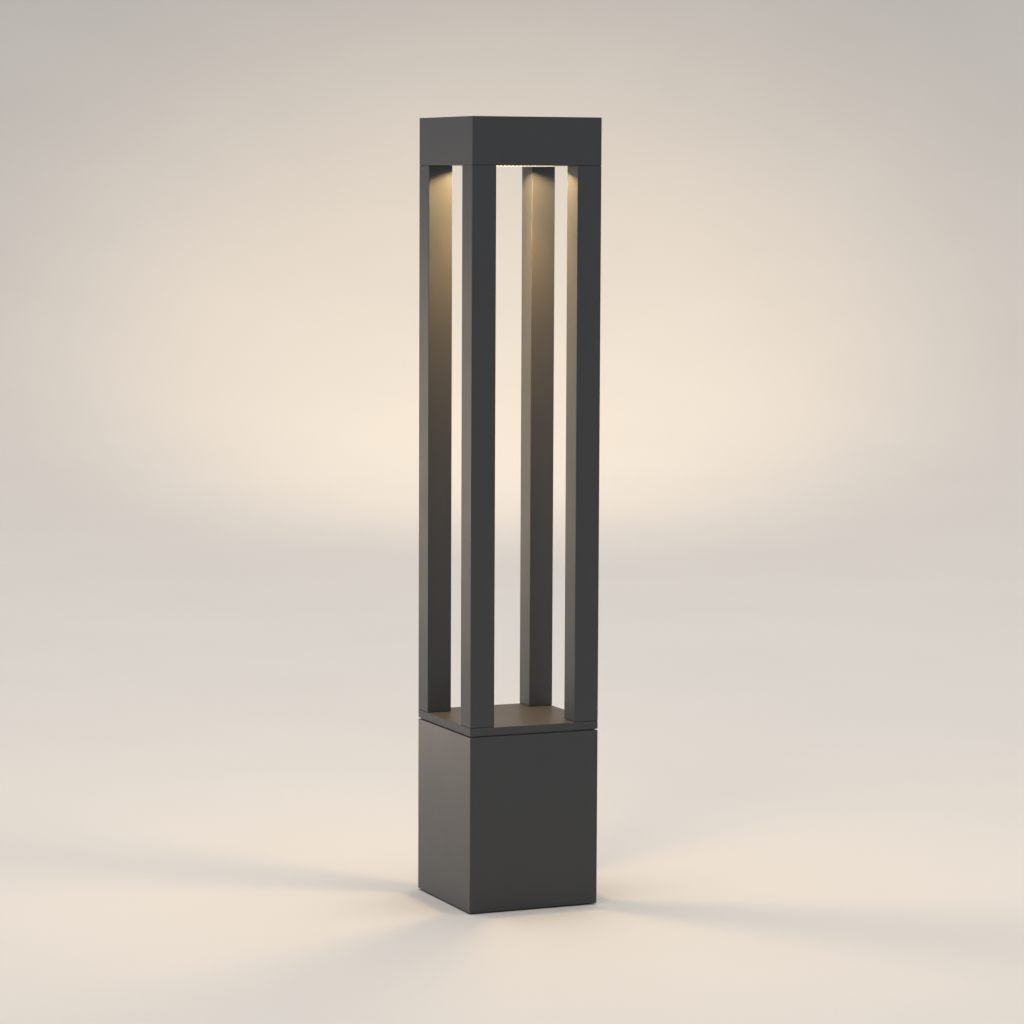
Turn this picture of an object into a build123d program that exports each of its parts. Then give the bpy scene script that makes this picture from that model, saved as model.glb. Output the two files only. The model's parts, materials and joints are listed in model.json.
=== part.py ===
from build123d import *
from math import pi, radians, tan
import os

# Square bollard light, in millimetres. +Z is up. The origin is the middle of the
# ground plate's underside, the front is -Y and the right-hand side is +X.

os.makedirs("parts", exist_ok=True)

# ---- Driving dimensions ---------------------------------------------------------------

WIDTH = 140.0  # outside of the base, the middle plate and the head
HEIGHT = 796.0
EDGE_RADIUS = 0.8  # on every upright outer edge
SOFT_EDGE = 0.3  # broken edges where flat parts meet

GROUND_SIZE = 130.0
GROUND_THICK = 4.0
ANCHOR_SPACING = 90.0
ANCHOR_RADIUS = 4.5
CABLE_HOLE_RADIUS = 20.0
UPSTAND_THICK = 4.0
UPSTAND_WIDTH = 80.0
UPSTAND_TOP = 44.0

HOUSING_BOTTOM = 1.5  # the walls hang past the ground plate's edge, clear of the paving
HOUSING_TOP = 179.0
HOUSING_WALL = 3.0
GUSSET_LEG = 20.0
GUSSET_THICK = 4.0
SHADOW_GAP = 1.5
MIDDLE_THICK = 8.0
SPACER_SIZE = 135.0  # the step under the middle plate that makes the shadow gap
POST_SIZE = 26.0
POST_WALL = 2.0
HEAD_HEIGHT = 48.0
HEAD_WALL = 3.0
HEAD_TOP_THICK = 4.0
SEAM_CHAMFER = 0.6  # each side of the groove between the posts and the head
FOOT_CHAMFER = 0.7  # the groove round each post's foot, where it stands on the plate

DECK_THICK = 5.0
PLATE_CLEARANCE = 0.2  # between a plate's edge and the wall around it
THREAD_CLEARANCE = 0.05  # radial, between a screw and its hole

APERTURE_RADIUS = 46.0
LENS_RADIUS = 45.6
LENS_PROUD = 0.8
BOARD_FACE = 770.0  # height of the face that the light comes from

# ---- Levels and positions worked out from them ----------------------------------------

HALF = WIDTH / 2
HOUSING_INNER = WIDTH - 2 * HOUSING_WALL
HOUSING_HEIGHT = HOUSING_TOP - HOUSING_BOTTOM
MIDDLE_BOTTOM = HOUSING_TOP + SHADOW_GAP
MIDDLE_TOP = MIDDLE_BOTTOM + MIDDLE_THICK
HEAD_BOTTOM = HEIGHT - HEAD_HEIGHT
DECK_BOTTOM = HOUSING_TOP - DECK_THICK
DECK_SIZE = HOUSING_INNER - 2 * PLATE_CLEARANCE
HEAD_INNER = WIDTH - 2 * HEAD_WALL
FLOOR_THICK = DECK_THICK
FLOOR_TOP = HEAD_BOTTOM + FLOOR_THICK
HEAD_CEILING = HEIGHT - HEAD_TOP_THICK
POST_CENTRE = HALF - POST_SIZE / 2
POST_INNER = POST_SIZE - 2 * POST_WALL

PORT_SIZE = 8.0  # square screw ports inside each post
PORT_INSET = (POST_INNER - PORT_SIZE) / 2  # from the post's centre line to each port's
LEAD_INSET = 1.5  # from the post's centre line to the lead, towards the outer corner
LEAD_PLACE = POST_CENTRE + LEAD_INSET

CORNERS = [(-1, -1), (1, -1), (-1, 1), (1, 1)]
PORT_POINTS = [(x * (POST_CENTRE - PORT_INSET), y * POST_CENTRE) for x, y in CORNERS]
PORT_POINTS += [(x * POST_CENTRE, y * (POST_CENTRE - PORT_INSET)) for x, y in CORNERS]


def side_points(reach):
    """The four points on the X and Y axes at this distance from the middle."""
    return [(reach, 0), (0, reach), (-reach, 0), (0, -reach)]


def corner_points(reach):
    """The four points on the diagonals with this X and Y distance from the middle."""
    return [(x * reach, y * reach) for x, y in CORNERS]


def pointing_up(points, level):
    return [Location((x, y, level)) for x, y in points]


def pointing_down(points, level):
    return [Location((x, y, level), (180, 0, 0)) for x, y in points]


# ---- Screws ---------------------------------------------------------------------------

SMALL_SCREW_RADIUS = 1.5
SMALL_SCREW_HEAD = 2.75
SMALL_HEAD_HEIGHT = 2.0


def socket_screw(shank_radius, shank_length, head_radius, head_height):
    """A hexagon-socket screw that points along +Z, with its head below z = 0."""
    bevel = 0.12 * head_radius
    tip = 0.2 * shank_radius
    with BuildPart() as screw:
        with BuildSketch(Plane.XZ):
            with BuildLine():
                Polyline(
                    (0, -head_height),
                    (head_radius - bevel, -head_height),
                    (head_radius, bevel - head_height),
                    (head_radius, 0),
                    (shank_radius, 0),
                    (shank_radius, shank_length - tip),
                    (shank_radius - tip, shank_length),
                    (0, shank_length),
                    close=True,
                )
            make_face()
        revolve(axis=Axis.Z)
        with BuildSketch(Plane.XY.offset(-head_height)):
            RegularPolygon(0.55 * head_radius, 6)
        extrude(amount=0.6 * head_height, mode=Mode.SUBTRACT)
    return screw.part


def countersunk_screw(shank_radius, length, head_radius):
    """A countersunk hexagon-socket screw that points along +Z, with its flat face at z = 0."""
    cone = head_radius - shank_radius
    tip = 0.2 * shank_radius
    with BuildPart() as screw:
        with BuildSketch(Plane.XZ):
            with BuildLine():
                Polyline(
                    (0, 0),
                    (head_radius, 0),
                    (shank_radius, cone),
                    (shank_radius, length - tip),
                    (shank_radius - tip, length),
                    (0, length),
                    close=True,
                )
            make_face()
        revolve(axis=Axis.Z)
        with BuildSketch(Plane.XY):
            RegularPolygon(0.4 * head_radius, 6)
        extrude(amount=cone, mode=Mode.SUBTRACT)
    return screw.part


# ---- Ground plate ---------------------------------------------------------------------

with BuildPart() as ground_plate:
    with BuildSketch():
        RectangleRounded(GROUND_SIZE, GROUND_SIZE, 3)
        Circle(CABLE_HOLE_RADIUS, mode=Mode.SUBTRACT)
        with GridLocations(ANCHOR_SPACING, ANCHOR_SPACING, 2, 2):
            Circle(ANCHOR_RADIUS, mode=Mode.SUBTRACT)
    extrude(amount=GROUND_THICK)
    with BuildSketch(Plane.XY.offset(GROUND_THICK)):
        with PolarLocations((GROUND_SIZE - UPSTAND_THICK) / 2, 4):
            Rectangle(UPSTAND_THICK, UPSTAND_WIDTH)
    extrude(amount=UPSTAND_TOP - GROUND_THICK)
    chamfer(ground_plate.faces().filter_by_position(Axis.Z, UPSTAND_TOP, UPSTAND_TOP).edges(), 1)
ground_plate.part.label = "ground_plate"
export_step(ground_plate.part, "parts/ground_plate.step")

# ---- Base housing ---------------------------------------------------------------------

DECK_SCREW_REACH = 60.5
DECK_SCREW_RADIUS = 2.5
DECK_SCREW_HOLE_DEPTH = 18.0
BOSS_DEPTH = 13.0  # from the wall inwards
BOSS_WIDTH = 14.0
BOSS_BOTTOM = 150.0
SET_SCREW_RADIUS = 2.5
SET_SCREW_LEVEL = 24.0
SET_SCREW_SPACING = 50.0
SET_SCREW_SINK = 0.3  # below the wall's outer face
SET_SCREW_CLEAR = 0.2  # drawn backed off from the upstand by this much

BACK_WALL = Plane(origin=(0, HALF, SET_SCREW_LEVEL), x_dir=(1, 0, 0), z_dir=(0, 1, 0))
RIGHT_WALL = Plane(origin=(HALF, 0, SET_SCREW_LEVEL), x_dir=(0, 1, 0), z_dir=(1, 0, 0))
SCREWED_WALLS = [BACK_WALL, RIGHT_WALL]

with BuildPart() as base_housing:
    with BuildSketch(Plane.XY.offset(HOUSING_BOTTOM)):
        RectangleRounded(WIDTH, WIDTH, EDGE_RADIUS)
        Rectangle(HOUSING_INNER, HOUSING_INNER, mode=Mode.SUBTRACT)
    extrude(amount=HOUSING_HEIGHT)
    # Four corner gussets, which stand on the ground plate: what is left of a square outside a
    # larger one turned by 45 degrees.
    gusset_cut = 2 * (HOUSING_INNER - GUSSET_LEG) / 2**0.5
    with BuildSketch(Plane.XY.offset(GROUND_THICK)):
        Rectangle(HOUSING_INNER, HOUSING_INNER)
        Rectangle(gusset_cut, gusset_cut, rotation=45, mode=Mode.SUBTRACT)
    extrude(amount=GUSSET_THICK)
    with BuildSketch(Plane.XY.offset(BOSS_BOTTOM)):
        with PolarLocations((HOUSING_INNER - BOSS_DEPTH) / 2, 4):
            Rectangle(BOSS_DEPTH, BOSS_WIDTH)
    extrude(amount=DECK_BOTTOM - BOSS_BOTTOM)
    with BuildSketch(Plane.XY.offset(DECK_BOTTOM)):
        with Locations(*side_points(DECK_SCREW_REACH)):
            Circle(DECK_SCREW_RADIUS + THREAD_CLEARANCE)
    extrude(amount=-DECK_SCREW_HOLE_DEPTH, mode=Mode.SUBTRACT)
    for wall in SCREWED_WALLS:
        with BuildSketch(wall):
            with GridLocations(SET_SCREW_SPACING, 1, 2, 1):
                Circle(SET_SCREW_RADIUS + THREAD_CLEARANCE)
        extrude(amount=-HOUSING_WALL, mode=Mode.SUBTRACT)
    chamfer(base_housing.faces().sort_by(Axis.Z)[-1].outer_wire().edges(), SOFT_EDGE)
    chamfer(base_housing.faces().sort_by(Axis.Z)[0].outer_wire().edges(), SOFT_EDGE)
base_housing.part.label = "base_housing"
export_step(base_housing.part, "parts/base_housing.step")

set_screw_length = HALF - SET_SCREW_SINK - GROUND_SIZE / 2 - SET_SCREW_CLEAR
with BuildPart() as housing_set_screws:
    for wall in SCREWED_WALLS:
        with BuildSketch(wall.offset(-SET_SCREW_SINK)):
            with GridLocations(SET_SCREW_SPACING, 1, 2, 1):
                Circle(SET_SCREW_RADIUS)
        extrude(amount=-set_screw_length)
        with BuildSketch(wall.offset(-SET_SCREW_SINK)):
            with GridLocations(SET_SCREW_SPACING, 1, 2, 1):
                RegularPolygon(0.58 * SET_SCREW_RADIUS, 6)
        extrude(amount=-set_screw_length / 2, mode=Mode.SUBTRACT)
housing_set_screws.part.label = "housing_set_screws"
export_step(housing_set_screws.part, "parts/housing_set_screws.step")

# ---- Base deck and what passes through it ---------------------------------------------

DECK_SCREW_HEAD = 4.7
DECK_SCREW_LENGTH = 20.0
COUNTERSINK_ANGLE = 90
COUNTERSINK_CLEARANCE = 0.1
TIE_SCREW_REACH = 35.0
TIE_SCREW_RADIUS = 3.0
TIE_SCREW_HEAD = 5.0
TIE_HEAD_HEIGHT = 4.0
TIE_SCREW_DEPTH = 7.0  # into the middle plate and its spacer
LEAD_RADIUS = 2.4
DECK_GROMMET_RADIUS = 6.0
DECK_GROMMET_FLANGE = 7.5
GROMMET_CLEARANCE = 0.05
GROMMET_FLANGE_THICK = 1.6
CHASSIS_SCREW_POINTS = [(-30, -12), (0, -12), (30, -12)]
CHASSIS_SCREW_RADIUS = 2.0
CHASSIS_SCREW_GRIP = 3.5
BLIND_END = 0.5  # how much deeper a blind hole is than its screw

with BuildPart() as base_deck:
    with BuildSketch(Plane.XY.offset(DECK_BOTTOM)):
        Rectangle(DECK_SIZE, DECK_SIZE)
        with Locations(*corner_points(TIE_SCREW_REACH)):
            Circle(TIE_SCREW_RADIUS + 3 * THREAD_CLEARANCE, mode=Mode.SUBTRACT)
        with Locations((LEAD_PLACE, LEAD_PLACE)):
            Circle(DECK_GROMMET_RADIUS, mode=Mode.SUBTRACT)
    extrude(amount=DECK_THICK)
    with Locations(*pointing_up(side_points(DECK_SCREW_REACH), HOUSING_TOP)):
        CounterSinkHole(
            DECK_SCREW_RADIUS + THREAD_CLEARANCE,
            DECK_SCREW_HEAD + COUNTERSINK_CLEARANCE,
            counter_sink_angle=COUNTERSINK_ANGLE,
        )
    with BuildSketch(Plane.XY.offset(DECK_BOTTOM)):
        with Locations(*CHASSIS_SCREW_POINTS):
            Circle(CHASSIS_SCREW_RADIUS + THREAD_CLEARANCE)
    extrude(amount=CHASSIS_SCREW_GRIP + BLIND_END, mode=Mode.SUBTRACT)
base_deck.part.label = "base_deck"
export_step(base_deck.part, "parts/base_deck.step")

deck_screw = countersunk_screw(DECK_SCREW_RADIUS, DECK_SCREW_LENGTH, DECK_SCREW_HEAD)
with BuildPart() as deck_screws:
    with Locations(*pointing_down(side_points(DECK_SCREW_REACH), HOUSING_TOP)):
        add(deck_screw)
deck_screws.part.label = "deck_screws"
export_step(deck_screws.part, "parts/deck_screws.step")

tie_screw = socket_screw(TIE_SCREW_RADIUS, DECK_THICK + TIE_SCREW_DEPTH, TIE_SCREW_HEAD, TIE_HEAD_HEIGHT)
with BuildPart() as tie_screws:
    with Locations(*pointing_up(corner_points(TIE_SCREW_REACH), DECK_BOTTOM)):
        add(tie_screw)
tie_screws.part.label = "tie_screws"
export_step(tie_screws.part, "parts/tie_screws.step")


def grommet_profile(bore, body, flange, body_bottom, body_top, flange_side):
    """Half section of a rubber bush with one flange, on its upper (+1) or lower (-1) side."""
    flange_root = body_top if flange_side > 0 else body_bottom
    flange_end = flange_root + GROMMET_FLANGE_THICK * flange_side
    body_end = body_bottom if flange_side > 0 else body_top
    Polyline(
        (bore, body_end),
        (body, body_end),
        (body, flange_root),
        (flange, flange_root),
        (flange, flange_end),
        (bore, flange_end),
        close=True,
    )


LEAD_AXIS = Axis((LEAD_PLACE, LEAD_PLACE, 0), (0, 0, 1))
LEAD_SECTION = Plane(origin=(LEAD_PLACE, LEAD_PLACE, 0), x_dir=(1, 0, 0), z_dir=(0, -1, 0))

with BuildPart() as deck_grommet:
    with BuildSketch(LEAD_SECTION):
        with BuildLine():
            grommet_profile(
                LEAD_RADIUS + GROMMET_CLEARANCE,
                DECK_GROMMET_RADIUS - GROMMET_CLEARANCE,
                DECK_GROMMET_FLANGE,
                DECK_BOTTOM,
                HOUSING_TOP,
                -1,
            )
        make_face()
    revolve(axis=LEAD_AXIS)
deck_grommet.part.label = "deck_grommet"
export_step(deck_grommet.part, "parts/deck_grommet.step")

# ---- Middle plate ---------------------------------------------------------------------

PORT_SCREW_RADIUS = 2.0
PORT_SCREW_HEAD = 3.5
PORT_SCREW_GRIP = 14.0  # length of thread in a post's port
BOTTOM_HEAD_HEIGHT = 4.0
TOP_HEAD_HEIGHT = 3.0
COUNTERBORE_RADIUS = 3.7
COUNTERBORE_DEPTH = 5.5
POST_LEAD_HOLE = 4.0
PORT_SCREW_CLEARANCE = 0.1

with BuildPart() as middle_plate:
    with BuildSketch(Plane.XY.offset(MIDDLE_BOTTOM)):
        RectangleRounded(WIDTH, WIDTH, EDGE_RADIUS)
    extrude(amount=MIDDLE_THICK)
    chamfer(middle_plate.faces().filter_by(Axis.Z).edges(), SOFT_EDGE)
    with BuildSketch(Plane.XY.offset(HOUSING_TOP)):
        Rectangle(SPACER_SIZE, SPACER_SIZE)
    extrude(amount=SHADOW_GAP)
    with BuildSketch(Plane.XY.offset(HOUSING_TOP)):
        with Locations(*corner_points(TIE_SCREW_REACH)):
            Circle(TIE_SCREW_RADIUS + THREAD_CLEARANCE)
    extrude(amount=TIE_SCREW_DEPTH + BLIND_END, mode=Mode.SUBTRACT)
    with BuildSketch(Plane.XY.offset(HOUSING_TOP)):
        with Locations(*PORT_POINTS):
            Circle(COUNTERBORE_RADIUS)
    extrude(amount=COUNTERBORE_DEPTH, mode=Mode.SUBTRACT)
    with BuildSketch(Plane.XY.offset(HOUSING_TOP)):
        with Locations(*PORT_POINTS):
            Circle(PORT_SCREW_RADIUS + PORT_SCREW_CLEARANCE)
        with Locations((LEAD_PLACE, LEAD_PLACE)):
            Circle(POST_LEAD_HOLE)
    extrude(amount=SHADOW_GAP + MIDDLE_THICK, mode=Mode.SUBTRACT)
middle_plate.part.label = "middle_plate"
export_step(middle_plate.part, "parts/middle_plate.step")

# ---- Posts ----------------------------------------------------------------------------

POST_NAMES = ["post_front_left", "post_front_right", "post_back_left", "post_back_right"]

for name, (side_x, side_y) in zip(POST_NAMES, CORNERS):
    with BuildPart() as post:
        with BuildSketch(Plane.XY.offset(MIDDLE_TOP)):
            with Locations((side_x * POST_CENTRE, side_y * POST_CENTRE)):
                RectangleRounded(POST_SIZE, POST_SIZE, EDGE_RADIUS)
                Rectangle(POST_INNER, POST_INNER, mode=Mode.SUBTRACT)
                with Locations((-side_x * PORT_INSET, 0), (0, -side_y * PORT_INSET)):
                    Rectangle(PORT_SIZE, PORT_SIZE)
                    Circle(PORT_SCREW_RADIUS + THREAD_CLEARANCE, mode=Mode.SUBTRACT)
        extrude(amount=HEAD_BOTTOM - MIDDLE_TOP)
        chamfer(post.faces().sort_by(Axis.Z)[-1].outer_wire().edges(), SEAM_CHAMFER)
        chamfer(post.faces().sort_by(Axis.Z)[0].outer_wire().edges(), FOOT_CHAMFER)
    post.part.label = name
    export_step(post.part, f"parts/{name}.step")

bottom_screw_level = HOUSING_TOP + COUNTERBORE_DEPTH
bottom_screw_length = MIDDLE_TOP - bottom_screw_level + PORT_SCREW_GRIP
bottom_screw = socket_screw(PORT_SCREW_RADIUS, bottom_screw_length, PORT_SCREW_HEAD, BOTTOM_HEAD_HEIGHT)
with BuildPart() as post_bottom_screws:
    with Locations(*pointing_up(PORT_POINTS, bottom_screw_level)):
        add(bottom_screw)
post_bottom_screws.part.label = "post_bottom_screws"
export_step(post_bottom_screws.part, "parts/post_bottom_screws.step")

top_screw_length = FLOOR_THICK + PORT_SCREW_GRIP
top_screw = socket_screw(PORT_SCREW_RADIUS, top_screw_length, PORT_SCREW_HEAD, TOP_HEAD_HEIGHT)
with BuildPart() as post_top_screws:
    with Locations(*pointing_down(PORT_POINTS, FLOOR_TOP)):
        add(top_screw)
post_top_screws.part.label = "post_top_screws"
export_step(post_top_screws.part, "parts/post_top_screws.step")

# ---- Head floor plate, lens and ring --------------------------------------------------

HEAD_SCREW_REACH = 59.0
HEAD_SCREW_RADIUS = 2.5
HEAD_SCREW_HEAD = 4.7
HEAD_SCREW_LENGTH = 20.0
HEAD_GROMMET_RADIUS = 3.85
HEAD_GROMMET_FLANGE = 4.8
RING_SCREW_REACH = 39.6
RING_SCREW_GRIP = 3.5
LENS_FLANGE = 50.0
LENS_WALL = 2.5
LENS_RIM_RADIUS = 0.6
LENS_GASKET_THICK = 1.0
LENS_FLANGE_THICK = 3.0
RING_THICK = 2.0
RING_INNER = 43.5
EAR_RADIUS = 5.0
lens_seat = FLOOR_TOP + LENS_GASKET_THICK
ring_bottom = lens_seat + LENS_FLANGE_THICK
ring_top = ring_bottom + RING_THICK

with BuildPart() as head_floor_plate:
    with BuildSketch(Plane.XY.offset(HEAD_BOTTOM)):
        Rectangle(HEAD_INNER - 2 * PLATE_CLEARANCE, HEAD_INNER - 2 * PLATE_CLEARANCE)
        Circle(APERTURE_RADIUS, mode=Mode.SUBTRACT)
        with Locations(*PORT_POINTS):
            Circle(PORT_SCREW_RADIUS + PORT_SCREW_CLEARANCE, mode=Mode.SUBTRACT)
        with Locations((LEAD_PLACE, LEAD_PLACE)):
            Circle(HEAD_GROMMET_RADIUS, mode=Mode.SUBTRACT)
    extrude(amount=FLOOR_THICK)
    with Locations(*pointing_down(side_points(HEAD_SCREW_REACH), HEAD_BOTTOM)):
        CounterSinkHole(
            HEAD_SCREW_RADIUS + THREAD_CLEARANCE,
            HEAD_SCREW_HEAD + COUNTERSINK_CLEARANCE,
            counter_sink_angle=COUNTERSINK_ANGLE,
        )
    with BuildSketch(Plane.XY.offset(FLOOR_TOP)):
        with Locations(*corner_points(RING_SCREW_REACH)):
            Circle(SMALL_SCREW_RADIUS + THREAD_CLEARANCE)
    extrude(amount=-RING_SCREW_GRIP - BLIND_END, mode=Mode.SUBTRACT)
head_floor_plate.part.label = "head_floor_plate"
export_step(head_floor_plate.part, "parts/head_floor_plate.step")

with BuildPart() as head_grommet:
    with BuildSketch(LEAD_SECTION):
        with BuildLine():
            grommet_profile(
                LEAD_RADIUS + GROMMET_CLEARANCE,
                HEAD_GROMMET_RADIUS - GROMMET_CLEARANCE,
                HEAD_GROMMET_FLANGE,
                HEAD_BOTTOM,
                FLOOR_TOP,
                1,
            )
        make_face()
    revolve(axis=LEAD_AXIS)
head_grommet.part.label = "head_grommet"
export_step(head_grommet.part, "parts/head_grommet.step")

with BuildPart() as lens_gasket:
    with BuildSketch(Plane.XY.offset(FLOOR_TOP)):
        Circle(LENS_FLANGE)
        Circle(APERTURE_RADIUS + 0.5, mode=Mode.SUBTRACT)
    extrude(amount=LENS_GASKET_THICK)
lens_gasket.part.label = "lens_gasket"
export_step(lens_gasket.part, "parts/lens_gasket.step")

# A shallow diffuser cup: its rim hangs a little below the head's underside.
lens_bottom = HEAD_BOTTOM - LENS_PROUD
with BuildPart() as lens:
    with BuildSketch(Plane.XZ):
        with BuildLine():
            Polyline(
                (0, lens_bottom),
                (LENS_RADIUS, lens_bottom),
                (LENS_RADIUS, lens_seat),
                (LENS_FLANGE, lens_seat),
                (LENS_FLANGE, ring_bottom),
                (LENS_RADIUS - LENS_WALL, ring_bottom),
                (LENS_RADIUS - LENS_WALL, lens_bottom + LENS_WALL),
                (0, lens_bottom + LENS_WALL),
                close=True,
            )
        make_face()
    revolve(axis=Axis.Z)
    fillet(lens.edges().filter_by_position(Axis.Z, lens_bottom, lens_bottom), LENS_RIM_RADIUS)
lens.part.label = "lens"
export_step(lens.part, "parts/lens.step")

with BuildPart() as lens_retaining_ring:
    with BuildSketch(Plane.XY.offset(ring_bottom)):
        Circle(LENS_FLANGE + 2)
        Circle(RING_INNER, mode=Mode.SUBTRACT)
    extrude(amount=RING_THICK)
    with BuildSketch(Plane.XY.offset(FLOOR_TOP)):
        with Locations(*corner_points(RING_SCREW_REACH)):
            Circle(EAR_RADIUS)
    extrude(amount=ring_top - FLOOR_TOP)
    with BuildSketch(Plane.XY.offset(FLOOR_TOP)):
        with Locations(*corner_points(RING_SCREW_REACH)):
            Circle(SMALL_SCREW_RADIUS + THREAD_CLEARANCE)
    extrude(amount=ring_top - FLOOR_TOP, mode=Mode.SUBTRACT)
lens_retaining_ring.part.label = "lens_retaining_ring"
export_step(lens_retaining_ring.part, "parts/lens_retaining_ring.step")

ring_screw_length = ring_top - FLOOR_TOP + RING_SCREW_GRIP
ring_screw = socket_screw(SMALL_SCREW_RADIUS, ring_screw_length, SMALL_SCREW_HEAD, SMALL_HEAD_HEIGHT)
with BuildPart() as retaining_ring_screws:
    with Locations(*pointing_down(corner_points(RING_SCREW_REACH), ring_top)):
        add(ring_screw)
retaining_ring_screws.part.label = "retaining_ring_screws"
export_step(retaining_ring_screws.part, "parts/retaining_ring_screws.step")

# ---- Light source ---------------------------------------------------------------------

BOARD_SIZE = 76.0
BOARD_THICK = 1.6
BOARD_SCREW_REACH = 34.0
BOARD_SCREW_GRIP = 3.0
CHIP_SIZE = 3.0
CHIP_HEIGHT = 0.8
SPREADER_SIZE = 100.0
SPREADER_THICK = 4.0
SPREADER_SCREW_REACH = 44.0
SPREADER_SCREW_RADIUS = 2.0
SPREADER_SCREW_GRIP = 10.0
PAD_RADIUS = 25.0
PAD_THICK = 0.5
REFLECTOR_TOP_RADIUS = 24.0
REFLECTOR_BOTTOM_RADIUS = 42.5
REFLECTOR_WALL = 1.0
spreader_bottom = BOARD_FACE + BOARD_THICK
spreader_top = spreader_bottom + SPREADER_THICK
reflector_top = BOARD_FACE - 0.4

with BuildPart() as reflector:
    with BuildSketch(Plane.XZ):
        with BuildLine():
            Polyline(
                (REFLECTOR_TOP_RADIUS, reflector_top),
                (REFLECTOR_BOTTOM_RADIUS, ring_top),
                (LENS_FLANGE, ring_top),
                (LENS_FLANGE, ring_top + REFLECTOR_WALL),
                (REFLECTOR_BOTTOM_RADIUS + REFLECTOR_WALL, ring_top + REFLECTOR_WALL),
                (REFLECTOR_TOP_RADIUS + REFLECTOR_WALL, reflector_top),
                close=True,
            )
        make_face()
    revolve(axis=Axis.Z)
    # The flange is notched around the ring's screw heads.
    with BuildSketch(Plane.XY.offset(ring_top)):
        with Locations(*corner_points(RING_SCREW_REACH)):
            Circle(EAR_RADIUS + 2.5)
    extrude(amount=REFLECTOR_WALL, mode=Mode.SUBTRACT)
reflector.part.label = "reflector"
export_step(reflector.part, "parts/reflector.step")

with BuildPart() as led_board:
    with BuildSketch(Plane.XY.offset(BOARD_FACE)):
        RectangleRounded(BOARD_SIZE, BOARD_SIZE, 3)
        with Locations(*side_points(BOARD_SCREW_REACH)):
            Circle(SMALL_SCREW_RADIUS + THREAD_CLEARANCE, mode=Mode.SUBTRACT)
    extrude(amount=BOARD_THICK)
led_board.part.label = "led_board"
export_step(led_board.part, "parts/led_board.step")

with BuildPart() as led_chips:
    for ring_radius, chip_count in [(7, 4), (17, 8)]:
        with BuildSketch(Plane.XY.offset(BOARD_FACE)):
            with PolarLocations(ring_radius, chip_count):
                RectangleRounded(CHIP_SIZE, CHIP_SIZE, 0.3)
        extrude(amount=-CHIP_HEIGHT)
led_chips.part.label = "led_chips"
export_step(led_chips.part, "parts/led_chips.step")

CONNECTOR_MIDDLE = 43.0  # along the diagonal, from the lamp's axis
CONNECTOR_LENGTH = 9.0
CONNECTOR_WIDTH = 8.0
CONNECTOR_HEIGHT = 5.4
DIAGONAL = Plane(origin=(0, 0, BOARD_FACE), x_dir=(1, 1, 0), z_dir=(0, 0, 1))

with BuildPart() as led_connector:
    with BuildSketch(DIAGONAL):
        with Locations((CONNECTOR_MIDDLE, 0)):
            Rectangle(CONNECTOR_LENGTH, CONNECTOR_WIDTH)
    extrude(amount=-CONNECTOR_HEIGHT)
    chamfer(led_connector.edges().filter_by(Axis.Z), 0.6)
led_connector.part.label = "led_connector"
export_step(led_connector.part, "parts/led_connector.step")

board_screw_length = BOARD_THICK + BOARD_SCREW_GRIP
board_screw = socket_screw(SMALL_SCREW_RADIUS, board_screw_length, SMALL_SCREW_HEAD, SMALL_HEAD_HEIGHT)
with BuildPart() as led_board_screws:
    with Locations(*pointing_up(side_points(BOARD_SCREW_REACH), BOARD_FACE)):
        add(board_screw)
led_board_screws.part.label = "led_board_screws"
export_step(led_board_screws.part, "parts/led_board_screws.step")

with BuildPart() as heat_spreader:
    with BuildSketch(Plane.XY.offset(spreader_bottom)):
        RectangleRounded(SPREADER_SIZE, SPREADER_SIZE, 4)
        with Locations(*side_points(SPREADER_SCREW_REACH)):
            Circle(SPREADER_SCREW_RADIUS + THREAD_CLEARANCE, mode=Mode.SUBTRACT)
    extrude(amount=SPREADER_THICK)
    with BuildSketch(Plane.XY.offset(spreader_bottom)):
        with Locations(*side_points(BOARD_SCREW_REACH)):
            Circle(SMALL_SCREW_RADIUS + THREAD_CLEARANCE)
    extrude(amount=BOARD_SCREW_GRIP + BLIND_END, mode=Mode.SUBTRACT)
heat_spreader.part.label = "heat_spreader"
export_step(heat_spreader.part, "parts/heat_spreader.step")

spreader_screw = socket_screw(SPREADER_SCREW_RADIUS, SPREADER_THICK + SPREADER_SCREW_GRIP, 3.5, 3)
with BuildPart() as heat_spreader_screws:
    with Locations(*pointing_up(side_points(SPREADER_SCREW_REACH), spreader_bottom)):
        add(spreader_screw)
heat_spreader_screws.part.label = "heat_spreader_screws"
export_step(heat_spreader_screws.part, "parts/heat_spreader_screws.step")

with BuildPart() as thermal_pad:
    with BuildSketch(Plane.XY.offset(spreader_top)):
        Circle(PAD_RADIUS)
    extrude(amount=PAD_THICK)
thermal_pad.part.label = "thermal_pad"
export_step(thermal_pad.part, "parts/thermal_pad.step")

# ---- Head cap -------------------------------------------------------------------------

LEDGE_INNER = 129.0
HEAD_GASKET_THICK = 1.5
HEAD_GASKET_OUTER = 133.4
HEAD_GASKET_INNER = 129.4
HEAD_BOSS_DEPTH = 12.0
HEAD_BOSS_WIDTH = 14.0
SPREADER_BOSS_RADIUS = 5.0
ledge_level = FLOOR_TOP + HEAD_GASKET_THICK

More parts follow.
